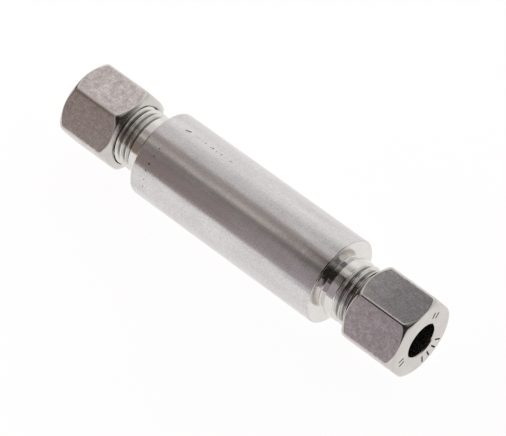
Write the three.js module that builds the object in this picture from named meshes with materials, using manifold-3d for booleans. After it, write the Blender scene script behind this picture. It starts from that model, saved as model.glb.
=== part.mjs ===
// Weld-in tube union, size 8 light series: a plain turned sleeve with a threaded neck at each end,
// and on each neck a hexagon union nut that holds a cutting ring for an 8 mm tube.
// Millimetres. The origin is the middle of the sleeve, +X runs along the bore and +Z is up.
import * as THREE from 'three'
import { mergeVertices } from 'three/addons/utils/BufferGeometryUtils.js'
import Module from 'manifold-3d'

const wasm = await Module()
wasm.setup()
const radians = THREE.MathUtils.degToRad

// Driving dimensions
const segments = 36 // facets round every turned face, and steps in one turn of a thread
const sleeve = { radius: 10, halfLength: 25, edgeBreak: 0.15 }
const neck = { end: 35, endRadius: 5.9, reliefRadius: 6.2, reliefEnd: 26.45, landStart: 26.65 }
const bore = { radius: 3, tubeStop: 28 }
const tubeHole = 4.05
const cone = { mouthRadius: 5.05, slope: Math.tan(radians(12)) }
const thread = { pitch: 1.5, nominal: 7, slope: Math.tan(radians(30)), gap: 0.08, crestShare: 1 / 8 }
const rodThread = { crest: 6.92, root: 6.08, runOutStart: 28.5, full: 28.9 }
const nutThread = { crest: 6.27, root: 7.08, full: 8.2, runOutEnd: 8.6 }
const nut = {
  sides: 6, acrossFlats: 17, length: 14.5, mouth: 7.2, seatStart: 9.2, holeBreak: 0.15,
  innerFace: 7.65, outerFace: 8.25, chamferSlope: Math.tan(radians(30))
}
const ring = {
  length: 8.8, rear: 10.73, rearFace: 4.6, collar: 5.6, shoulder: 4.2, taper: 3.4, tip: 4.36
}

// How the nuts sit: two or three threads out on the necks, each at its own angle
const nutStation = 32.6
const nutTurn = { right: radians(-1.2), left: radians(-2.9) }
const grooveAtZero = { right: 29.0975, left: 28.7025 } // middle of a rod groove at angle zero

// How far the cutting tools reach: past a crest, short of it where they only touch, past a corner
const tool = { past: 0.1, short: 0.05, pastCorner: 1 }
const weldDistance = 1e-5

const colours = { sleeve: '#c9c6c3', nut: '#aaa5a3', ring: '#b9b7b2' }
const bareSteel = { roughness: 0.35, metalness: 1 }

function solid (geometry) {
  geometry.deleteAttribute('normal')
  geometry.deleteAttribute('uv')
  const merged = mergeVertices(geometry, weldDistance)
  const vertProperties = merged.attributes.position.array
  const triVerts = Uint32Array.from(merged.index.array)
  return new wasm.Manifold(new wasm.Mesh({ numProp: 3, vertProperties, triVerts }))
}

function facetedMesh (name, manifold, colour) {
  const { vertProperties, triVerts } = manifold.getMesh()
  const geometry = new THREE.BufferGeometry()
  geometry.setAttribute('position', new THREE.BufferAttribute(vertProperties.slice(), 3))
  geometry.setIndex(new THREE.BufferAttribute(triVerts.slice(), 1))
  geometry.computeVertexNormals()
  const material = new THREE.MeshStandardMaterial({ color: colour, ...bareSteel })
  const mesh = new THREE.Mesh(geometry, material)
  mesh.name = name
  return mesh
}

// A ring turned round the X axis. The [x, radius] points run from the outside of its +X end
// along the outside to its -X end, and back along the bore.
function turned (profile) {
  const points = [...profile, profile[0]].reverse().map(([x, radius]) => new THREE.Vector2(radius, x))
  return solid(new THREE.LatheGeometry(points, segments).rotateZ(-Math.PI / 2))
}

// The solid that a thread tool sweeps: a section of four corners carried along a right-hand helix.
// section(x) gives [half width, radius] of its inner side and of its outer side, for a middle at x.
function sweptTool (xAtZero, from, to, section) {
  const first = Math.ceil((from - xAtZero) / thread.pitch * segments)
  const last = Math.floor((to - xAtZero) / thread.pitch * segments)
  const positions = []
  for (let step = first; step <= last; step++) {
    const middle = xAtZero + step / segments * thread.pitch
    const angle = step / segments * 2 * Math.PI
    const [inner, outer] = section(middle)
    const corners = [[-inner[0], inner[1]], inner, outer, [-outer[0], outer[1]]]
    for (const [offset, radius] of corners) {
      positions.push(middle + offset, radius * Math.cos(angle), radius * Math.sin(angle))
    }
  }
  const end = (last - first) * 4
  const index = [0, 2, 1, 0, 3, 2, end, end + 1, end + 2, end, end + 2, end + 3]
  for (let row = 0; row < end; row += 4) {
    for (let k = 0; k < 4; k++) {
      const a = row + k
      const b = row + (k + 1) % 4
      index.push(a, b, b + 4, a, b + 4, a + 4)
    }
  }
  const geometry = new THREE.BufferGeometry()
  geometry.setAttribute('position', new THREE.Float32BufferAttribute(positions, 3))
  geometry.setIndex(index)
  return solid(geometry)
}

// Half the width of a 60 degree thread groove at a radius, with the running gap on each flank
function rodGroove (radius) {
  const basic = thread.pitch * (1 - thread.crestShare) - 2 * (thread.nominal - radius) * thread.slope
  return basic / 2 + thread.gap * thread.slope
}

function nutGroove (radius) {
  const basic = thread.pitch * thread.crestShare + 2 * (thread.nominal - radius) * thread.slope
  return basic / 2 + thread.gap * thread.slope
}

// How far a tool is in at x, from 0 where it only touches to 1 where it is at full depth
function depth (x, touches, full) {
  return THREE.MathUtils.clamp((x - touches) / (full - touches), 0, 1)
}

function rodTool (xAtZero) {
  const above = rodThread.crest + tool.past
  return sweptTool(xAtZero, rodThread.runOutStart, neck.end + thread.pitch, (x) => {
    const fullLift = above - tool.short - rodThread.root
    const lift = (1 - depth(x, rodThread.runOutStart, rodThread.full)) * fullLift
    return [[rodGroove(rodThread.root), rodThread.root + lift], [rodGroove(above), above + lift]]
  })
}

function nutTool (xAtZero) {
  const below = nutThread.crest - tool.past
  return sweptTool(xAtZero, -thread.pitch, nutThread.runOutEnd, (x) => {
    const fullLift = nutThread.root - below - tool.short
    const lift = (1 - depth(x, nutThread.runOutEnd, nutThread.full)) * fullLift
    return [[nutGroove(below), below - lift], [nutGroove(nutThread.root), nutThread.root - lift]]
  })
}

function sleeveBody () {
  const neckChamfer = rodThread.crest - neck.endRadius
  const coneDepth = (cone.mouthRadius - tubeHole) / cone.slope
  const outside = [
    [neck.end, neck.endRadius],
    [neck.end - neckChamfer, rodThread.crest],
    [neck.landStart, rodThread.crest],
    [neck.reliefEnd, neck.reliefRadius],
    [sleeve.halfLength, neck.reliefRadius],
    [sleeve.halfLength, sleeve.radius - sleeve.edgeBreak],
    [sleeve.halfLength - sleeve.edgeBreak, sleeve.radius]
  ]
  const inside = [
    [bore.tubeStop, bore.radius],
    [bore.tubeStop, tubeHole],
    [neck.end - coneDepth, tubeHole],
    [neck.end, cone.mouthRadius]
  ]
  const mirrored = (points) => points.map(([x, radius]) => [-x, radius]).reverse()
  const blank = turned([...outside, ...mirrored(outside), ...mirrored(inside), ...inside])
  return blank
    .subtract(rodTool(grooveAtZero.right))
    .subtract(rodTool(grooveAtZero.left).rotate([0, 0, 180]))
}

// The nut stands on its inner face at x = 0, with its thread there and its tube hole at the far end.
// Two of its flats face +Z and -Z.
function unionNut (xAtZero) {
  const corner = nut.acrossFlats / 2 / Math.cos(Math.PI / nut.sides)
  const hexagon = new THREE.Shape()
  for (let k = 0; k < nut.sides; k++) {
    const angle = k * 2 * Math.PI / nut.sides
    const point = [corner * Math.cos(angle), corner * Math.sin(angle)]
    if (k === 0) hexagon.moveTo(...point)
    else hexagon.lineTo(...point)
  }
  hexagon.closePath()
  const bar = new THREE.ExtrudeGeometry(hexagon, { depth: nut.length, bevelEnabled: false })
  bar.rotateY(Math.PI / 2).rotateX(Math.PI / 2)
  const past = corner + tool.pastCorner
  const seatEnd = nut.seatStart + nutThread.crest - tubeHole
  const envelope = turned([
    [nut.length, nut.outerFace],
    [nut.length - (past - nut.outerFace) * nut.chamferSlope, past],
    [(past - nut.innerFace) * nut.chamferSlope, past],
    [0, nut.innerFace],
    [0, nut.mouth],
    [nut.mouth - nutThread.crest, nutThread.crest],
    [nut.seatStart, nutThread.crest],
    [seatEnd, tubeHole],
    [nut.length - nut.holeBreak, tubeHole],
    [nut.length, tubeHole + nut.holeBreak]
  ])
  return solid(bar).intersect(envelope).subtract(nutTool(xAtZero))
}

// The ring in its nut: its rear chamfer faces the nut's 45 degree seat, its tip points into the cone
function cuttingRing () {
  const front = ring.rear - ring.length
  return turned([
    [ring.rear, ring.rearFace],
    [ring.rear - (ring.collar - ring.rearFace), ring.collar],
    [front + ring.shoulder, ring.collar],
    [front + ring.taper, ring.tip + ring.taper * cone.slope],
    [front, ring.tip],
    [front, tubeHole],
    [ring.rear, tubeHole]
  ])
}

// Puts a part on a neck, whose own +X points out of the sleeve
function onNeck (mesh, side) {
  const out = side === 'right' ? 1 : -1
  mesh.position.x = out * nutStation
  mesh.rotation.z = side === 'right' ? 0 : Math.PI
  return mesh
}

// The nut's groove lies half a pitch from the neck's, in the nut's own turned frame
function nutOn (side) {
  const out = side === 'right' ? 1 : -1
  const ownTurn = out * nutTurn[side]
  const xAtZero = grooveAtZero[side] - nutStation + (0.5 + ownTurn / (2 * Math.PI)) * thread.pitch
  const mesh = facetedMesh(`${side}_union_nut`, unionNut(xAtZero), colours.nut)
  mesh.rotation.x = nutTurn[side]
  return onNeck(mesh, side)
}

const union = new THREE.Group()
union.add(facetedMesh('sleeve_body', sleeveBody(), colours.sleeve))
for (const side of ['left', 'right']) {
  union.add(nutOn(side))
  union.add(onNeck(facetedMesh(`${side}_cutting_ring`, cuttingRing(), colours.ring), side))
}

export default union
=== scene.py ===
import math
import bmesh
import bpy
from mathutils import Matrix, Vector


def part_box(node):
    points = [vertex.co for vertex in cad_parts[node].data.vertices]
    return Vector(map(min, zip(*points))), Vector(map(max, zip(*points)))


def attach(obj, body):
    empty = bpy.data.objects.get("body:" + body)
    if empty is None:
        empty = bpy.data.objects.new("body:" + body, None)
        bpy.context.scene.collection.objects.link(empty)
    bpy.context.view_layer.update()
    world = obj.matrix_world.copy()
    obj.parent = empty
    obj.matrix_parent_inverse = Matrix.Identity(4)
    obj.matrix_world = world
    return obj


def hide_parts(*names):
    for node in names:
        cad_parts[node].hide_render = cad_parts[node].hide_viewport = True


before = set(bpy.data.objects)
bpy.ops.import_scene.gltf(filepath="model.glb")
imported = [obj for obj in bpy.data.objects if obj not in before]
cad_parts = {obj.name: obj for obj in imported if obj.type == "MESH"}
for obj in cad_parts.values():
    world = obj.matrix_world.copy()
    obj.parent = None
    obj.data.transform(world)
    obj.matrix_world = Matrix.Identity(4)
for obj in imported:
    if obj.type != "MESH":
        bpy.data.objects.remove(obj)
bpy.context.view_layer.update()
mm = 0.001
segments = 144  # steps round every turned face: a whole number on each flat of the nuts
roundSteps = 4  # faces across each small edge round
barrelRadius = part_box("sleeve_body")[1][2] / mm
print("frame loaded:", ", ".join(sorted(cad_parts)))


def linear(hexColour):
    # sRGB hex to the linear values that shaders work in
    channels = [int(hexColour[k:k + 2], 16) / 255 for k in (1, 3, 5)]
    return [c / 12.92 if c <= 0.04045 else ((c + 0.055) / 1.055) ** 2.4 for c in channels] + [1.0]


def addNode(tree, kind, inputs=None, **settings):
    # one node with its settings, and its inputs as values, sockets or other nodes
    node = tree.nodes.new(kind)
    for name, value in settings.items():
        setattr(node, name, value)
    for socket, value in (inputs or {}).items():
        if isinstance(value, bpy.types.Node):
            value = value.outputs[0]
        if isinstance(value, bpy.types.NodeSocket):
            tree.links.new(value, node.inputs[socket])
        else:
            node.inputs[socket].default_value = value
    return node


# a noise node's values mostly lie between these, and a mix stretches them to its whole range
patternSpan = (0.3, 0.7)
grainSpan = (0.35, 0.65)


def steelMaterial(name, look, spots=()):
    # Bare stainless steel. The tool leaves fine rings round the X axis, so a light is drawn out
    # along the axis; colour and gloss wander a little from streak to streak.
    material = bpy.data.materials.new(name)
    material.use_nodes = True
    tree = material.node_tree
    tree.nodes.clear()
    coords = addNode(tree, "ShaderNodeTexCoord").outputs["Object"]
    along, around = 1 / (look["ringSpacing"] * mm), 1 / (look["streakLength"] * mm)
    streakSpace = addNode(tree, "ShaderNodeMapping", {0: coords, "Scale": (along, around, around)})
    streaks = addNode(tree, "ShaderNodeTexNoise", {
        "Vector": streakSpace, "Scale": 1, "Detail": 3, "Roughness": 0.6})
    cloudScale = 1 / (look["cloudSize"] * mm)
    cloudSpace = addNode(tree, "ShaderNodeMapping", {
        0: coords, "Scale": (cloudScale / look["cloudStretch"], cloudScale, cloudScale)})
    clouds = addNode(tree, "ShaderNodeTexNoise", {
        "Vector": cloudSpace, "Scale": 1, "Detail": 4, "Roughness": 0.55})
    grainScale = 1 / (look["grainSize"] * mm)
    grain = addNode(tree, "ShaderNodeTexNoise", {"Vector": coords, "Scale": grainScale, "Detail": 2})

    streakMix = addNode(tree, "ShaderNodeMapRange", {0: streaks, 1: patternSpan[0], 2: patternSpan[1]})
    cloudMix = addNode(tree, "ShaderNodeMapRange", {0: clouds, 1: patternSpan[0], 2: patternSpan[1]})
    steel = addNode(tree, "ShaderNodeMix", {
        0: streakMix, 6: linear(look["steel"]), 7: linear(look["streak"])}, data_type="RGBA")
    cloudAmount = addNode(tree, "ShaderNodeMath", {0: cloudMix, 1: look["cloudAmount"]},
                          operation="MULTIPLY")
    tinted = addNode(tree, "ShaderNodeMix", {
        0: cloudAmount, 6: steel.outputs[2], 7: linear(look["cloud"])}, data_type="RGBA")
    grainMix = addNode(tree, "ShaderNodeMapRange", {
        0: grain, 1: grainSpan[0], 2: grainSpan[1], 3: 1 - look["grainAmount"], 4: 1.0})
    colour = addNode(tree, "ShaderNodeVectorMath", {0: tinted.outputs[2], "Scale": grainMix},
                     operation="SCALE")
    # painted shade toward the thread roots; on the rod's thread it partly stands for dirt as well
    if "shadeAndDirt" in look:
        colour = rootShadeAndDirt(tree, coords, colour, look["shadeAndDirt"])
    if spots:
        colour = nicked(tree, coords, colour, spots)

    gloss = addNode(tree, "ShaderNodeMath", {0: streakMix, 1: cloudMix}, operation="ADD")
    roughness = addNode(tree, "ShaderNodeMapRange", {
        0: gloss, 1: 0, 2: 2, 3: look["roughness"][0], 4: look["roughness"][1]})
    relief = addNode(tree, "ShaderNodeMath", {0: streaks, 1: grain}, operation="ADD")
    if "swell" in look:
        # broad shallow waves, which bend the edges of the reflections
        swellScale = look["cloudSize"] / look["swell"]["size"]
        waves = addNode(tree, "ShaderNodeTexNoise", {
            "Vector": cloudSpace, "Scale": swellScale, "Detail": 1})
        relief = addNode(tree, "ShaderNodeMath", {
            0: waves, 1: look["swell"]["depth"] / look["bumpDepth"], 2: relief},
            operation="MULTIPLY_ADD")
    bump = addNode(tree, "ShaderNodeBump", {
        "Height": relief, "Strength": look["bumpStrength"], "Distance": look["bumpDepth"] * mm})
    tangent = addNode(tree, "ShaderNodeTangent", direction_type="RADIAL", axis="X")
    shader = addNode(tree, "ShaderNodeBsdfPrincipled", {
        "Base Color": colour, "Metallic": 1.0, "Roughness": roughness, "Normal": bump,
        "Tangent": tangent, "Anisotropic": look["anisotropic"],
        "Anisotropic Rotation": 0.25})  # a quarter turn, from round the axis to along it
    addNode(tree, "ShaderNodeOutputMaterial", {"Surface": shader})
    return material


def rootShadeAndDirt(tree, coords, colour, shadeAndDirt):
    # darkens the steel from a crest radius, where it keeps its colour, to a root radius: painted shade
    # in the thread roots and inside the nuts, with some dirt on the rod's thread too
    y, z = addNode(tree, "ShaderNodeSeparateXYZ", {0: coords}).outputs[1:]
    fromAxis = addNode(tree, "ShaderNodeCombineXYZ", {1: y, 2: z})
    radius = addNode(tree, "ShaderNodeVectorMath", {0: fromAxis}, operation="LENGTH")
    colourKept = addNode(tree, "ShaderNodeMapRange", {
        0: radius.outputs["Value"], 1: shadeAndDirt["root"] * mm, 2: shadeAndDirt["crest"] * mm,
        3: shadeAndDirt["shade"], 4: 1.0})
    return addNode(tree, "ShaderNodeVectorMath", {0: colour, "Scale": colourKept}, operation="SCALE")


def nicked(tree, coords, colour, spots):
    # darkens the steel at each spot, with a ragged edge
    ragged = addNode(tree, "ShaderNodeTexNoise", {
        "Vector": coords, "Scale": 1 / (nicks["raggedSize"] * mm), "Detail": 2})
    shifted = addNode(tree, "ShaderNodeVectorMath", {
        0: ragged.outputs["Color"], 1: [nicks["raggedDepth"] * mm] * 3, 2: coords},
        operation="MULTIPLY_ADD")
    for place, size in spots:
        # the noise is 0.5 on average, so the nick's middle moves along by half its depth
        middle = [(c + nicks["raggedDepth"] / 2) * mm for c in place]
        toSpot = addNode(tree, "ShaderNodeVectorMath", {0: shifted, 1: middle}, operation="DISTANCE")
        colourKept = addNode(tree, "ShaderNodeMapRange", {
            0: toSpot.outputs["Value"], 1: size * nicks["core"] * mm, 2: size * mm,
            3: nicks["shade"], 4: 1.0})
        colour = addNode(tree, "ShaderNodeVectorMath", {0: colour, "Scale": colourKept}, operation="SCALE")
    return colour


# Sizes in the looks are in millimetres.
# Stainless bar, finish turned and lightly ground: a satin cylinder with broad soft bands of light.
# Real grinding lines lie a few hundredths of a millimetre apart, too fine to show, so the rings
# and the grain are drawn about ten times coarser.
groundBar = {"steel": "#e0dedd", "streak": "#dbd8d7", "cloud": "#c6c1c1", "cloudAmount": 0.45,
             "ringSpacing": 0.5, "streakLength": 9, "cloudSize": 1.8, "cloudStretch": 4,
             "grainSize": 0.3, "grainAmount": 0.16, "roughness": (0.19, 0.28), "anisotropic": 0.7,
             "bumpStrength": 0.3, "bumpDepth": 0.01, "swell": {"size": 5, "depth": 0.12}}
# Stainless faces, chamfers and necks left as the lathe tool cut them: almost a mirror, with fine
# rings. A finishing cut leaves them about 0.1 mm apart, and they are drawn coarser, so they show.
turnedFace = {"steel": "#e6e4e1", "streak": "#dedbd7", "cloud": "#cfcbc6", "cloudAmount": 0.3,
              "ringSpacing": 0.25, "streakLength": 6, "cloudSize": 2.5, "cloudStretch": 1,
              "grainSize": 0.3, "grainAmount": 0.05, "roughness": (0.09, 0.16), "anisotropic": 0.3,
              "bumpStrength": 0.1, "bumpDepth": 0.004}
# A stainless nut's faces and chamfers, cut in one fast pass: a little rougher than the necks, and
# painted greyer, a painted shade for the darker reflection these faces show
shadedNutFace = dict(turnedFace, steel="#d8d4d0", streak="#d0cbc6", cloud="#bcb7b1", cloudAmount=0.45,
                roughness=(0.12, 0.2))
# Stainless cut by the threading tool, darkened toward the roots by painted shade, with some oil and dirt
# there too: bright crests between dark lines
cutThread = dict(turnedFace, shadeAndDirt={"root": 6.1, "crest": 6.5, "shade": 0.35}, roughness=(0.13, 0.2))
# The tapped thread inside a nut, given painted shade: dark as soon as the thread begins, for the shadow
# inside the bore
shadedInsideThread = dict(turnedFace, shadeAndDirt={"root": 7.02, "crest": 7.25, "shade": 0.22},
                     roughness=(0.2, 0.3))
# Cold drawn stainless hexagon bar: the die leaves a dull skin, mottled and pitted. The pits are
# under 0.1 mm, and the grain that stands for them is drawn coarser, so it shows.
drawnHexagon = {"steel": "#eae2e0", "streak": "#dcd3d1", "cloud": "#afa4a1", "cloudAmount": 0.75,
                "ringSpacing": 2.0, "streakLength": 0.7, "cloudSize": 1.3, "cloudStretch": 1,
                "grainSize": 0.36, "grainAmount": 0.3, "roughness": (0.22, 0.36),
                "anisotropic": 0.0, "bumpStrength": 0.55, "bumpDepth": 0.014}
# Hardened steel cutting ring, ground all over: smooth and a little darker. Its grinding lines are
# drawn coarser than real too.
hardenedRing = {"steel": "#c9c7c2", "streak": "#bfbcb6", "cloud": "#b1ada6", "cloudAmount": 0.4,
                "ringSpacing": 0.4, "streakLength": 8, "cloudSize": 3, "cloudStretch": 1,
                "grainSize": 0.4, "grainAmount": 0.08, "roughness": (0.18, 0.26),
                "anisotropic": 0.5, "bumpStrength": 0.15, "bumpDepth": 0.006}
# Painted shade in a punched mark: its walls coloured as a rough dark line
markShade = {"steel": "#37322f", "streak": "#2d2926", "cloud": "#221f1d", "cloudAmount": 0.5,
            "ringSpacing": 0.5, "streakLength": 0.5, "cloudSize": 0.5, "cloudStretch": 1,
            "grainSize": 0.2, "grainAmount": 0.2, "roughness": (0.5, 0.65), "anisotropic": 0.0,
            "bumpStrength": 0.3, "bumpDepth": 0.01}
# Nicks from handling: a broken scratch along the barrel, and small dents near one end. Each is
# its x, its angle round the barrel and its radius; core is the share of the radius that is darkest.
nicks = {"shade": 0.2, "core": 0.5, "raggedSize": 0.22, "raggedDepth": 0.5,
         "scratch": [(-19.9, 77.4, 0.3), (-19.5, 76.4, 0.34), (-19.1, 75.6, 0.24),
                     (-16.9, 76.6, 0.14), (-14.6, 76.6, 0.18), (-13.0, 77.0, 0.2),
                     (-12.6, 76.2, 0.24), (-11.6, 76.6, 0.14), (-10.2, 76.6, 0.2),
                     (-7.6, 76.6, 0.18)],
         "dents": [(-21.3, 118, 0.2), (-21.3, 129, 0.22), (-21.4, 140, 0.28), (-21.6, 150, 0.28),
                   (-21.3, 162, 0.2), (-21.3, 173, 0.22)]}


def nickSpots():
    around = [(x, math.radians(angle), size) for x, angle, size in nicks["scratch"] + nicks["dents"]]
    return [((x, barrelRadius * math.cos(a), barrelRadius * math.sin(a)), size)
            for x, a, size in around]


groundSteel = steelMaterial("groundStainless", groundBar, nickSpots())
turnedSteel = steelMaterial("turnedStainless", turnedFace)
shadedNutFaceSteel = steelMaterial("shadedNutFaceStainless", shadedNutFace)
threadSteel = steelMaterial("cutThreadStainless", cutThread)
shadedInsideThreadSteel = steelMaterial("shadedInsideThreadStainless", shadedInsideThread)
drawnSteel = steelMaterial("drawnHexagonStainless", drawnHexagon)
ringSteel = steelMaterial("hardenedRingSteel", hardenedRing)
shadeInMarks = steelMaterial("shadeInMarks", markShade)
print("materials made")


# points closer than weld are one, a shorter edge than sliver goes, a sharper edge isn't smoothed
meshLimits = {"weld": 0.002, "sliver": 0.0005, "sharpAngle": 28}


def treeOutput(tree, geometry, material):
    whole = addNode(tree, "GeometryNodeRealizeInstances", {"Geometry": geometry})
    coloured = addNode(tree, "GeometryNodeSetMaterial", {"Geometry": whole, "Material": material})
    tree.interface.new_socket("Geometry", in_out="OUTPUT", socket_type="NodeSocketGeometry")
    addNode(tree, "NodeGroupOutput", {0: coloured})


def treeInputs(tree, kinds):
    for name, kind in kinds.items():
        tree.interface.new_socket(name, in_out="INPUT", socket_type=kind)
    return addNode(tree, "NodeGroupInput").outputs


def threadTree(name, chamferRule):
    # A 60 degree thread as one sheet. Its rows follow the helix, so the crest and root edges run
    # along mesh edges, and its ends are cut square by clamping x.
    tree = bpy.data.node_groups.new(name, "GeometryNodeTree")
    lengths = ("Pitch", "First Groove", "Start", "End", "Root Half Width", "Crest Half Width",
               "Root Radius", "Crest Radius", "Run Out Touches", "Run Out Full", "Chamfer Radius",
               "Chamfer Plane")
    kinds = {"Segments": "NodeSocketInt", "Rows Per Turn": "NodeSocketInt", "Rows": "NodeSocketInt"}
    kinds.update({length: "NodeSocketFloat" for length in lengths})
    kinds["Material"] = "NodeSocketMaterial"
    given = treeInputs(tree, kinds)
    columns = addNode(tree, "ShaderNodeMath", {0: given["Segments"], 1: 1.0})
    lastRow = addNode(tree, "ShaderNodeMath", {0: given["Rows"], 1: 1.0}, operation="SUBTRACT")
    sheet = addNode(tree, "GeometryNodeMeshGrid", {
        "Size X": lastRow, "Size Y": given["Segments"], "Vertices X": given["Rows"],
        "Vertices Y": columns})
    flat = addNode(tree, "ShaderNodeSeparateXYZ", {0: addNode(tree, "GeometryNodeInputPosition")})
    row = addNode(tree, "ShaderNodeMath", {0: lastRow, 1: 0.5, 2: flat.outputs[0]},
                  operation="MULTIPLY_ADD")
    column = addNode(tree, "ShaderNodeMath", {0: given["Segments"], 1: 0.5, 2: flat.outputs[1]},
                     operation="MULTIPLY_ADD")
    groove = addNode(tree, "ShaderNodeMath", {0: row, 1: given["Rows Per Turn"]}, operation="DIVIDE")
    turn = addNode(tree, "ShaderNodeMath", {0: column, 1: given["Segments"]}, operation="DIVIDE")
    turns = addNode(tree, "ShaderNodeMath", {0: groove, 1: turn})
    helix = addNode(tree, "ShaderNodeMath", {0: turns, 1: given["Pitch"], 2: given["First Groove"]},
                    operation="MULTIPLY_ADD")
    x = addNode(tree, "ShaderNodeClamp", {0: helix, 1: given["Start"], 2: given["End"]})
    offCentre = addNode(tree, "ShaderNodeMath", {0: groove, 1: 0.5}, operation="PINGPONG")
    distance = addNode(tree, "ShaderNodeMath", {0: offCentre, 1: given["Pitch"]}, operation="MULTIPLY")
    flank = addNode(tree, "ShaderNodeMapRange", {
        0: distance, 1: given["Root Half Width"], 2: given["Crest Half Width"],
        3: given["Root Radius"], 4: given["Crest Radius"]})
    depth = addNode(tree, "ShaderNodeMapRange", {
        0: x, 1: given["Run Out Touches"], 2: given["Run Out Full"]})
    cut = addNode(tree, "ShaderNodeMix", {0: depth, 2: given["Crest Radius"], 3: flank})
    chamferTop = addNode(tree, "ShaderNodeMath", {0: given["Chamfer Radius"], 1: given["Chamfer Plane"]})
    chamfer = addNode(tree, "ShaderNodeMath", {0: chamferTop, 1: x}, operation="SUBTRACT")
    radius = addNode(tree, "ShaderNodeMath", {0: cut, 1: chamfer}, operation=chamferRule)
    angle = addNode(tree, "ShaderNodeMath", {0: turn, 1: 2 * math.pi}, operation="MULTIPLY")
    cosine = addNode(tree, "ShaderNodeMath", {0: angle}, operation="COSINE")
    sine = addNode(tree, "ShaderNodeMath", {0: angle}, operation="SINE")
    y = addNode(tree, "ShaderNodeMath", {0: radius, 1: cosine}, operation="MULTIPLY")
    z = addNode(tree, "ShaderNodeMath", {0: radius, 1: sine}, operation="MULTIPLY")
    place = addNode(tree, "ShaderNodeCombineXYZ", {0: x, 1: y, 2: z})
    wound = addNode(tree, "GeometryNodeSetPosition", {"Geometry": sheet, "Position": place})
    welded = addNode(tree, "GeometryNodeMergeByDistance", {
        "Geometry": wound, "Distance": meshLimits["weld"] * mm})
    treeOutput(tree, welded, given["Material"])
    return tree


def baked(thing):
    # the plain mesh of an object, as its modifiers leave it
    depsgraph = bpy.context.evaluated_depsgraph_get()
    return bpy.data.meshes.new_from_object(thing.evaluated_get(depsgraph), depsgraph=depsgraph)


def grown(tree, values):
    # the plain mesh that a tree makes from the values of its named inputs
    carrier = bpy.data.objects.new("carrier", bpy.data.meshes.new("carrier"))
    bpy.context.collection.objects.link(carrier)
    modifier = carrier.modifiers.new("grow", "NODES")
    modifier.node_group = tree
    for item in tree.interface.items_tree:
        if item.in_out == "INPUT":
            modifier[item.identifier] = values[item.name]
    mesh = baked(carrier)
    bpy.data.objects.remove(carrier)
    return mesh


threadSizes = {"pitch": 1.5, "nominal": 7.0, "flankSlope": math.tan(math.radians(30)), "gap": 0.08,
               "crestShare": 1 / 8, "rowsPerTurn": 24}
rodSizes = {"crest": 6.92, "root": 6.08, "touches": 28.5, "full": 28.9, "endRadius": 5.9,
            "grooveAtZero": {"right": 29.0975, "left": 28.7025}}
nutThreadSizes = {"crest": 6.27, "root": 7.08, "touches": 8.6, "full": 8.2, "mouth": 7.2}


def threadMesh(tree, sizes, grooveAtZero, start, end, halfWidth, chamferRadius, chamferPlane):
    # halfWidth gives the groove's half width at a radius
    pitch = threadSizes["pitch"]
    firstGroove = grooveAtZero + math.floor((start - grooveAtZero) / pitch - 1) * pitch
    rows = math.ceil((end - firstGroove) / pitch * threadSizes["rowsPerTurn"]) + 1
    return grown(tree, {
        "Segments": segments, "Rows Per Turn": threadSizes["rowsPerTurn"], "Rows": rows,
        "Pitch": pitch * mm, "First Groove": firstGroove * mm, "Start": start * mm, "End": end * mm,
        "Root Half Width": halfWidth(sizes["root"]) * mm,
        "Crest Half Width": halfWidth(sizes["crest"]) * mm,
        "Root Radius": sizes["root"] * mm, "Crest Radius": sizes["crest"] * mm,
        "Run Out Touches": sizes["touches"] * mm, "Run Out Full": sizes["full"] * mm,
        "Chamfer Radius": chamferRadius * mm, "Chamfer Plane": chamferPlane * mm,
        "Material": turnedSteel})


def rodHalfWidth(radius):
    # half the width of a groove at a radius, with the running gap on its flank
    t = threadSizes
    depth = t["nominal"] - radius - t["gap"]
    return t["pitch"] * (1 - t["crestShare"]) / 2 - depth * t["flankSlope"]


def nutHalfWidth(radius):
    # the same for the groove in a nut
    t = threadSizes
    depth = t["nominal"] - radius + t["gap"]
    return t["pitch"] * t["crestShare"] / 2 + depth * t["flankSlope"]


def evenAngles(count):
    return [2 * math.pi * k / count for k in range(count)]


def addColumns(bm, columns, slotAt):
    # joins columns of [x, radius, angle] in millimetres, all as long as each other, round the axis
    grid = [[bm.verts.new((x * mm, r * math.cos(a) * mm, r * math.sin(a) * mm)) for x, r, a in column]
            for column in columns]
    for c in range(len(grid)):
        first, second = grid[c], grid[(c + 1) % len(grid)]
        for k in range(len(first) - 1):
            face = bm.faces.new((first[k], first[k + 1], second[k + 1], second[k]))
            face.material_index = slotAt(c, k)


def addRings(bm, rings, slot):
    # a turned sheet of [x, radius] rings in one material slot
    columns = [[(x, r, angle) for x, r in rings] for angle in evenAngles(segments)]
    addColumns(bm, columns, lambda c, k: slot)


def addSheet(bm, sheet, slot):
    # a ready mesh in one material slot
    facesBefore = len(bm.faces)
    bm.from_mesh(sheet)
    bm.faces.ensure_lookup_table()
    for face in bm.faces[facesBefore:]:
        face.material_index = slot


def filleted(points, radii):
    # a polyline with its inner corners rounded; every corner gives the same number of points
    outline = [points[0]]
    for before, corner, after, radius in zip(points, points[1:], points[2:], radii):
        a, c, b = Vector(before), Vector(corner), Vector(after)
        toA, toB = (a - c).normalized(), (b - c).normalized()
        half = toA.angle(toB) / 2
        centre = c + (toA + toB).normalized() * radius / math.sin(half)
        start, end = c + toA * radius / math.tan(half), c + toB * radius / math.tan(half)
        for k in range(roundSteps + 1):
            spoke = (start - centre).lerp(end - centre, k / roundSteps).normalized() * radius
            outline.append(tuple(centre + spoke))
    return outline + [points[-1]]


def rounded(centre, radius, fromAngle, toAngle):
    # points of a small edge round, angles in degrees from +x toward the radius
    step = (toAngle - fromAngle) / roundSteps
    angles = [math.radians(fromAngle + step * k) for k in range(roundSteps + 1)]
    return [(centre[0] + radius * math.cos(a), centre[1] + radius * math.sin(a)) for a in angles]


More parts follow.
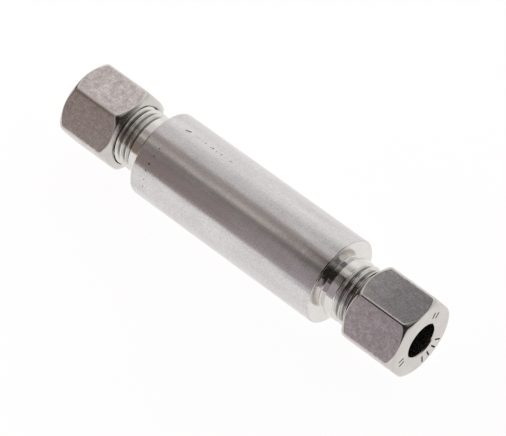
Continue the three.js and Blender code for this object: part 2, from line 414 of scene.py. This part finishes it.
def finished(name, bm, materials):
    # welds the sheets, turns the faces outward and gives a piece whose object sits at the origin
    bmesh.ops.remove_doubles(bm, verts=bm.verts, dist=meshLimits["weld"] * mm)
    bmesh.ops.dissolve_degenerate(bm, edges=bm.edges, dist=meshLimits["sliver"] * mm)
    bmesh.ops.recalc_face_normals(bm, faces=bm.faces)
    mesh = bpy.data.meshes.new(name)
    bm.to_mesh(mesh)
    bm.free()
    for material in materials:
        mesh.materials.append(material)
    mesh.shade_smooth()
    mesh.set_sharp_from_angle(angle=math.radians(meshLimits["sharpAngle"]))
    piece = bpy.data.objects.new(name, mesh)
    bpy.context.collection.objects.link(piece)
    return piece


def settled(piece):
    # weighs the shading by face size, so flat faces look flat, and bakes every modifier
    piece.modifiers.new("weigh", "WEIGHTED_NORMAL").keep_sharp = True
    mesh = baked(piece)
    piece.modifiers.clear()
    old = piece.data
    piece.data = mesh
    bpy.data.meshes.remove(old)
    mesh.name = piece.name
    openEdges = sum(1 for edge in edgeUse(mesh) if edge != 2)
    print(f"{piece.name}: {len(mesh.polygons)} faces, {openEdges} open edges")
    return piece


def edgeUse(mesh):
    used = {}
    for polygon in mesh.polygons:
        for key in polygon.edge_keys:
            used[key] = used.get(key, 0) + 1
    return used.values()


sleeveSizes = {"shoulder": 25.0, "edgeRound": 0.3, "reliefRadius": 6.2,
               "reliefEnd": 26.45, "landStart": 26.65, "cornerRound": 0.25, "bore": 3.0,
               "tubeStop": 28, "tubeHole": 4.05, "coneMouth": 5.05,
               "coneSlope": math.tan(math.radians(12))}
sleeveSlots = {"barrel": 0, "turned": 1, "thread": 2}


def makeSleeve():
    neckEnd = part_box("sleeve_body")[1][0] / mm
    s = sleeveSizes
    shoulder = s["shoulder"]
    edge = s["edgeRound"]
    corner = s["cornerRound"]
    coneEnd = neckEnd - (s["coneMouth"] - s["tubeHole"]) / s["coneSlope"]
    inside = [(neckEnd, rodSizes["endRadius"]), (neckEnd, s["coneMouth"]), (coneEnd, s["tubeHole"]),
              (s["tubeStop"], s["tubeHole"]), (s["tubeStop"], s["bore"]), (0, s["bore"])]
    bm = bmesh.new()
    barrel = rounded((-shoulder + edge, barrelRadius - edge), edge, 180, 90)
    barrel += rounded((shoulder - edge, barrelRadius - edge), edge, 90, 0)
    addRings(bm, barrel, sleeveSlots["barrel"])
    for side in (1, -1):
        shoulderRings = [(shoulder, barrelRadius - edge)]
        shoulderRings += rounded((shoulder + corner, s["reliefRadius"] + corner), corner, 180, 270)
        shoulderRings += [(s["reliefEnd"], s["reliefRadius"]), (s["landStart"], rodSizes["crest"])]
        addRings(bm, [(side * x, r) for x, r in shoulderRings], sleeveSlots["turned"])
        addRings(bm, [(side * x, r) for x, r in inside], sleeveSlots["turned"])
    rodTree = threadTree("outsideThread", "MINIMUM")
    for side in ("right", "left"):
        thread = threadMesh(rodTree, rodSizes, rodSizes["grooveAtZero"][side], s["landStart"], neckEnd,
                            rodHalfWidth, rodSizes["endRadius"], neckEnd)
        if side == "left":
            thread.transform(Matrix.Rotation(math.pi, 4, "Z"))
        addSheet(bm, thread, sleeveSlots["thread"])
    piece = settled(finished("weldSleeve", bm, [groundSteel, turnedSteel, threadSteel]))
    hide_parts("sleeve_body")
    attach(piece, "sleeve")


makeSleeve()


nutSizes = {"acrossFlats": 17.0, "innerFace": 7.65, "outerFace": 8.25,
            "chamferSlope": math.tan(math.radians(30)), "seatStart": 9.2, "tubeHole": 4.05,
            "holeBreak": 0.2, "wornFlat": 0.3, "wornCorner": 1.7, "cornerRound": 1.0,
            "mouthBand": 0.1, "outerBand": 1.0, "turn": {"right": -1.2, "left": -2.9}}
nutSlots = {"flats": 0, "faces": 1, "marks": 2, "thread": 3}
# each group: its first angle, how many strokes, the angle between them, their ring and length
markSizes = {"width": 0.28, "groups": [(275, 4, 15.5, 6.5, 2.1), (46, 2, 12, 6.2, 1.5),
                                       (184, 2, 12, 6.3, 1.5)]}


def markTree():
    # short V grooves on a ring, one after another round the axis
    tree = bpy.data.node_groups.new("punchedMarks", "GeometryNodeTree")
    kinds = {"Count": "NodeSocketInt"}
    kinds.update({name: "NodeSocketFloat" for name in (
        "First Angle", "Angle Step", "Ring Radius", "Face Plane", "Length", "Width")})
    kinds["Material"] = "NodeSocketMaterial"
    given = treeInputs(tree, kinds)
    points = addNode(tree, "GeometryNodePoints", {"Count": given["Count"]})
    index = addNode(tree, "GeometryNodeInputIndex")
    angle = addNode(tree, "ShaderNodeMath", {0: index, 1: given["Angle Step"], 2: given["First Angle"]},
                    operation="MULTIPLY_ADD")
    cosine = addNode(tree, "ShaderNodeMath", {0: angle}, operation="COSINE")
    sine = addNode(tree, "ShaderNodeMath", {0: angle}, operation="SINE")
    y = addNode(tree, "ShaderNodeMath", {0: cosine, 1: given["Ring Radius"]}, operation="MULTIPLY")
    z = addNode(tree, "ShaderNodeMath", {0: sine, 1: given["Ring Radius"]}, operation="MULTIPLY")
    place = addNode(tree, "ShaderNodeCombineXYZ", {0: given["Face Plane"], 1: y, 2: z})
    placed = addNode(tree, "GeometryNodeSetPosition", {"Geometry": points, "Position": place})
    size = addNode(tree, "ShaderNodeCombineXYZ", {0: given["Width"], 1: given["Length"],
                                                  2: given["Width"]})
    punch = addNode(tree, "GeometryNodeMeshCube", {"Size": size})
    edgeDown = addNode(tree, "GeometryNodeTransform", {"Geometry": punch,
                                                       "Rotation": (0, math.radians(45), 0)})
    turned = addNode(tree, "ShaderNodeCombineXYZ", {0: angle})
    marks = addNode(tree, "GeometryNodeInstanceOnPoints", {"Points": placed, "Instance": edgeDown,
                                                           "Rotation": turned})
    treeOutput(tree, marks, given["Material"])
    return tree


def offCorner(angle):
    # how far an angle is from the nearest corner of the hexagon
    return abs((angle + math.radians(30)) % math.radians(60) - math.radians(30))


def cornerCentre():
    # how far from the axis the middle of a corner's round lies
    n = nutSizes
    return (n["acrossFlats"] / 2 - n["cornerRound"]) / math.cos(math.radians(30))


def roundedSpan():
    # the angle from a corner to where its round meets the flat
    radius = nutSizes["cornerRound"]
    return math.atan2(radius / 2, cornerCentre() + radius * math.cos(math.radians(30)))


def hexRadius(angle):
    # the hexagon's outline, its corners rounded off
    n = nutSizes
    centre = cornerCentre()
    off = offCorner(angle)
    if off < roundedSpan():
        reach = n["cornerRound"] ** 2 - (centre * math.sin(off)) ** 2
        return centre * math.cos(off) + math.sqrt(reach)
    return n["acrossFlats"] / 2 / math.cos(math.radians(30) - off)


def outlineAngles():
    # steps that crowd together toward each corner, as many on each flat as on the round faces
    perFlat = segments // 6
    share = [math.sin(math.pi / 2 * (2 * k / perFlat - 1)) for k in range(perFlat)]
    return [math.radians(60 * flat + 30 + 30 * g) for flat in range(6) for g in share]


def nutOutside(bm, length):
    # each column runs over the inner face, chamfer, flat, chamfer and outer face; the edges wear
    # more toward the corners
    n = nutSizes
    slope = n["chamferSlope"]
    angles = outlineAngles()
    columns = []
    for even, angle in zip(evenAngles(segments), angles):
        r = hexRadius(angle)
        towardCorner = (r - n["acrossFlats"] / 2) / (hexRadius(0) - n["acrossFlats"] / 2)
        edge = n["wornFlat"] + (n["wornCorner"] - n["wornFlat"]) * towardCorner
        inner = ((r - n["innerFace"]) * slope, r)
        outer = (length - (r - n["outerFace"]) * slope, r)
        outline = filleted([(0, nutThreadSizes["mouth"] + n["mouthBand"]), (0, n["innerFace"]),
                            inner, outer, (length, n["outerFace"]),
                            (length, n["outerFace"] - n["outerBand"])],
                           [n["wornFlat"] / 2, edge, edge, n["wornFlat"] / 2])
        column = [(0, nutThreadSizes["mouth"], even)] + [(x, r, angle) for x, r in outline]
        columns.append(column + [(length, n["tubeHole"] + n["holeBreak"], even)])
    flatRow = 1 + 2 * (roundSteps + 1)  # the long faces between the two chamfers
    span = roundedSpan()

    def slotAt(c, k):
        middle = (angles[c] + angles[(c + 1) % segments]) / 2
        onFlat = k == flatRow and offCorner(middle) > span
        return nutSlots["flats"] if onFlat else nutSlots["faces"]

    addColumns(bm, columns, slotAt)


def makeNut(side, nutTree, marks):
    # built on its inner face at x = 0, then put on its neck
    node = f"{side}_union_nut"
    low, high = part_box(node)
    n = nutSizes
    length = (high[0] - low[0]) / mm
    station = (low[0] if side == "right" else -high[0]) / mm
    # the nut's groove lies half a pitch from the neck's, in the nut's own turned frame
    ownTurn = n["turn"][side] * (1 if side == "right" else -1)
    grooveAtZero = (rodSizes["grooveAtZero"][side] - station
                    + (0.5 + ownTurn / 360) * threadSizes["pitch"])
    t = nutThreadSizes
    seatEnd = n["seatStart"] + t["crest"] - n["tubeHole"]
    bm = bmesh.new()
    nutOutside(bm, length)
    addRings(bm, [(length, n["tubeHole"] + n["holeBreak"]), (length - n["holeBreak"], n["tubeHole"]),
                  (seatEnd, n["tubeHole"]), (n["seatStart"], t["crest"]),
                  (t["touches"], t["crest"])], nutSlots["faces"])
    thread = threadMesh(nutTree, t, grooveAtZero, 0, t["touches"], nutHalfWidth, t["mouth"], 0)
    addSheet(bm, thread, nutSlots["thread"])
    piece = finished("hexUnionNut_" + side, bm, [drawnSteel, shadedNutFaceSteel, shadeInMarks, shadedInsideThreadSteel])
    if side == "right":
        stampMarks(piece, marks, length)
    place = Matrix.Translation(((station if side == "right" else -station) * mm, 0, 0))
    place = place @ Matrix.Rotation(math.radians(n["turn"][side]), 4, "X")
    if side == "left":
        place = place @ Matrix.Rotation(math.pi, 4, "Z")
    piece.data.transform(place)
    piece = settled(piece)
    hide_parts(node)
    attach(piece, side + "_nut")


def stampMarks(piece, marks, length):
    # plain strokes cut into the outer face, their walls coloured dark as painted shade
    bm = bmesh.new()
    for first, count, step, ring, strokeLength in markSizes["groups"]:
        strokes = grown(marks, {
            "Count": count, "First Angle": math.radians(first), "Angle Step": math.radians(step),
            "Ring Radius": ring * mm, "Face Plane": length * mm,
            "Length": strokeLength * mm, "Width": markSizes["width"] * mm,
            "Material": shadeInMarks})
        addSheet(bm, strokes, nutSlots["marks"])
    cutterMesh = bpy.data.meshes.new("punches")
    bm.to_mesh(cutterMesh)
    bm.free()
    for material in piece.data.materials:
        cutterMesh.materials.append(material)
    cutter = bpy.data.objects.new("punches", cutterMesh)
    bpy.context.collection.objects.link(cutter)
    cut = piece.modifiers.new("marks", "BOOLEAN")
    cut.operation = "DIFFERENCE"
    cut.solver = "EXACT"
    cut.material_mode = "INDEX"
    cut.object = cutter
    mesh = baked(piece)
    piece.modifiers.clear()
    piece.data = mesh
    bpy.data.objects.remove(cutter)


insideTree = threadTree("insideThread", "MAXIMUM")
marksTree = markTree()
for side in ("left", "right"):
    makeNut(side, insideTree, marksTree)


ringSizes = {"length": 8.8, "rearFace": 4.6, "collar": 5.6, "shoulder": 4.2, "taper": 3.4,
             "tip": 4.36, "hole": 4.05, "edgeRound": 0.12, "rearRise": 0.4, "collarFall": 0.7}


def makeRing(side):
    node = f"{side}_cutting_ring"
    low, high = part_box(node)
    r = ringSizes
    front = (low[0] if side == "right" else -high[0]) / mm
    rear = front + r["length"]
    collarStart = rear - (r["collar"] - r["rearFace"])
    taperRadius = r["tip"] + r["taper"] * sleeveSizes["coneSlope"]
    edge = r["edgeRound"]
    rise, fall = edge * r["rearRise"], edge * r["collarFall"]  # where the rounds meet the chamfer
    rings = [(rear, r["hole"]), (rear, r["rearFace"] - edge), (rear - edge, r["rearFace"] + rise),
             (collarStart + fall, r["collar"] - fall), (collarStart - edge, r["collar"]),
             (front + r["shoulder"] + edge, r["collar"]), (front + r["shoulder"], r["collar"] - edge),
             (front + r["taper"], taperRadius), (front, r["tip"]), (front, r["hole"]),
             (rear, r["hole"])]
    bm = bmesh.new()
    sign = 1 if side == "right" else -1
    addRings(bm, [(sign * x, radius) for x, radius in rings], 0)
    piece = settled(finished("cuttingRing_" + side, bm, [ringSteel]))
    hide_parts(node)
    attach(piece, side + "_ring")


for side in ("left", "right"):
    makeRing(side)
print("pieces made")


# A sky is a row of colours by the angle round the X axis: 0 degrees is level behind the part, 90
# is overhead and 180 is level on the viewer's side. The x of a direction, from -1 to 1, says
# where the left sky turns into the right one and where each end turns dark.
studio = {"tableSize": 40.0, "table": "#fdfcfc", "tableLight": 1.1, "tableShade": 0.12,
          "backdrop": "#f0efef", "skyLight": 1.15,
          "leftSky": [(0, "#e9e9e9"), (20, "#f2f2f2"), (32, "#f5f4f4"), (48, "#ebebeb"),
                      (54, "#dedbdb"), (84, "#d2cfd0"), (86, "#b0aaa8"), (92, "#a39d9a"),
                      (101, "#a69d99"), (113, "#c5bfbc"), (122, "#85807d"), (128, "#86807f"),
                      (137, "#989294"), (149, "#a0989c"), (173, "#a79fa3"), (180, "#9e979a")],
          "rightSky": [(0, "#dadada"), (45, "#d8d8d8"), (60, "#bcbab9"), (80, "#817f7d"),
                       (92, "#45413f"), (110, "#312c29"), (180, "#2c2725")],
          "leftToRight": (-0.02, 0.3),
          "ends": [{"colour": "#2e2a28", "from": -0.8, "to": -0.97},
                   {"colour": "#2e2a28", "from": 0.75, "to": 0.93}]}


def makeWorld():
    # soft studio surroundings: bright behind the part, greyer toward the viewer
    world = bpy.data.worlds.new("studioSurroundings")
    bpy.context.scene.world = world
    world.use_nodes = True
    tree = world.node_tree
    tree.nodes.clear()
    direction = addNode(tree, "ShaderNodeTexCoord").outputs["Generated"]
    parts = addNode(tree, "ShaderNodeSeparateXYZ", {0: direction})
    angle = addNode(tree, "ShaderNodeMath", {0: parts.outputs[2], 1: parts.outputs[1]},
                    operation="ARCTAN2")
    share = addNode(tree, "ShaderNodeMath", {0: angle, 1: math.pi}, operation="DIVIDE")
    skies = []
    for side in ("leftSky", "rightSky"):
        ramp = addNode(tree, "ShaderNodeValToRGB", {0: share})
        stops = ramp.color_ramp.elements
        while len(stops) < len(studio[side]):
            stops.new(0.5)
        for stop, (degrees, colour) in zip(stops, studio[side]):
            stop.position = degrees / 180
            stop.color = linear(colour)
        skies.append(ramp)
    toRight = addNode(tree, "ShaderNodeMapRange", {
        0: parts.outputs[0], 1: studio["leftToRight"][0], 2: studio["leftToRight"][1]})
    sky = addNode(tree, "ShaderNodeMix", {0: toRight, 6: skies[0], 7: skies[1]}, data_type="RGBA")
    for end in studio["ends"]:
        toEnd = addNode(tree, "ShaderNodeMapRange", {0: parts.outputs[0], 1: end["from"], 2: end["to"]})
        sky = addNode(tree, "ShaderNodeMix", {
            0: toEnd, 6: sky.outputs[2], 7: linear(end["colour"])}, data_type="RGBA")
    seen = addNode(tree, "ShaderNodeLightPath").outputs["Is Camera Ray"]
    shown = addNode(tree, "ShaderNodeMix", {
        0: seen, 6: sky.outputs[2], 7: linear(studio["backdrop"])}, data_type="RGBA")
    background = addNode(tree, "ShaderNodeBackground", {
        "Color": shown.outputs[2], "Strength": studio["skyLight"]})
    addNode(tree, "ShaderNodeOutputWorld", {"Surface": background})


def plainSheet(name, corners, material):
    mesh = bpy.data.meshes.new(name)
    mesh.from_pydata([[c * mm for c in corner] for corner in corners], [], [(0, 1, 2, 3)])
    mesh.materials.append(material)
    piece = bpy.data.objects.new(name, mesh)
    bpy.context.collection.objects.link(piece)
    return piece


def glowMaterial(name, colour, strength, shade=0.0):
    # A sheet lit evenly all over: opal acrylic for the table, matt card for the flags. Shade is
    # the share of it that takes shadows.
    material = bpy.data.materials.new(name)
    material.use_nodes = True
    tree = material.node_tree
    tree.nodes.clear()
    glow = addNode(tree, "ShaderNodeEmission", {"Color": linear(colour), "Strength": strength})
    matt = addNode(tree, "ShaderNodeBsdfDiffuse", {"Color": linear(colour)})
    both = addNode(tree, "ShaderNodeMixShader", {0: shade, 1: glow, 2: matt})
    addNode(tree, "ShaderNodeOutputMaterial", {"Surface": both})
    return material


def makeTable():
    # a white light table: it glows, so the part casts only a faint shadow
    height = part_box("sleeve_body")[0][2] / mm
    half = studio["tableSize"] / 2 / mm
    table = glowMaterial("litTable", studio["table"], studio["tableLight"], studio["tableShade"])
    square = [(-half, -half), (half, -half), (half, half), (-half, half)]
    plainSheet("lightTable", [(x, y, height) for x, y in square], table)


# the corners of each card, in millimetres
flags = {
    "viewerFlag": {"corners": [(0, -57, 60), (90, -57, 60), (90, -9, 60), (0, -9, 60)],
                   "colour": "#2c2826"},
    "overheadFlag": {"corners": [(3, 17, 60), (90, 17, 60), (90, 56, 60), (3, 56, 60)],
                     "colour": "#787b81"},
    "sideFill": {"corners": [(-46, -100, 6), (-19, -100, 6), (-19, -100, 105), (-46, -100, 105)],
                 "colour": "#b2aaae"},
    "sideFlag": {"corners": [(-17, -100, -9), (90, -100, -9), (90, -100, 60), (-17, -100, 60)],
                 "colour": "#a9a3ab"},
    "lowFlag": {"corners": [(-480, -300, 0), (-143, -300, 0), (-143, -300, 130), (-480, -300, 130)],
                "colour": "#87766a"},
    "highFlag": {"corners": [(-480, -300, 130), (-170, -300, 130), (-195, -300, 300), (-480, -300, 300)],
                 "colour": "#80716a"},
}


def makeFlags():
    # grey cards that the steel reflects as dark and pale bands; the camera doesn't see them
    for name, flag in flags.items():
        card = plainSheet(name, flag["corners"], glowMaterial(name + "Card", flag["colour"], 1.0))
        card.visible_camera = False
        card.visible_shadow = False


# Azimuth 0 looks along +Y, and elevation is how steeply the camera looks down, in degrees. The
# rest is in millimetres; aside and down centre the part in the frame.
cameraSettings = {"azimuth": 42.906, "elevation": 51.091, "distance": 671.18, "aside": 0.599,
                  "down": 0.212, "lens": 230.79, "sensor": 36.0, "nearest": 10, "farthest": 200000}


def makeCamera():
    c = cameraSettings
    azimuth, elevation = math.radians(c["azimuth"]), math.radians(c["elevation"])
    right = Vector((math.cos(azimuth), math.sin(azimuth), 0))
    ahead = Vector((-math.sin(azimuth), math.cos(azimuth), 0))
    forward = ahead * math.cos(elevation) - Vector((0, 0, math.sin(elevation)))
    up = right.cross(forward)
    data = bpy.data.cameras.new("productCamera")
    data.lens = c["lens"]
    data.sensor_width = c["sensor"]
    data.clip_start = c["nearest"] * mm
    data.clip_end = c["farthest"] * mm
    camera = bpy.data.objects.new("productCamera", data)
    bpy.context.collection.objects.link(camera)
    turn = Matrix((right, up, -forward)).transposed().to_4x4()
    place = (right * c["aside"] - up * c["down"] - forward * c["distance"]) * mm
    camera.matrix_world = Matrix.Translation(place) @ turn
    bpy.context.scene.camera = camera


makeWorld()
makeTable()
makeFlags()
makeCamera()
bpy.context.scene.view_settings.view_transform = "Standard"
bpy.context.scene.view_settings.look = "None"
print("studio made")
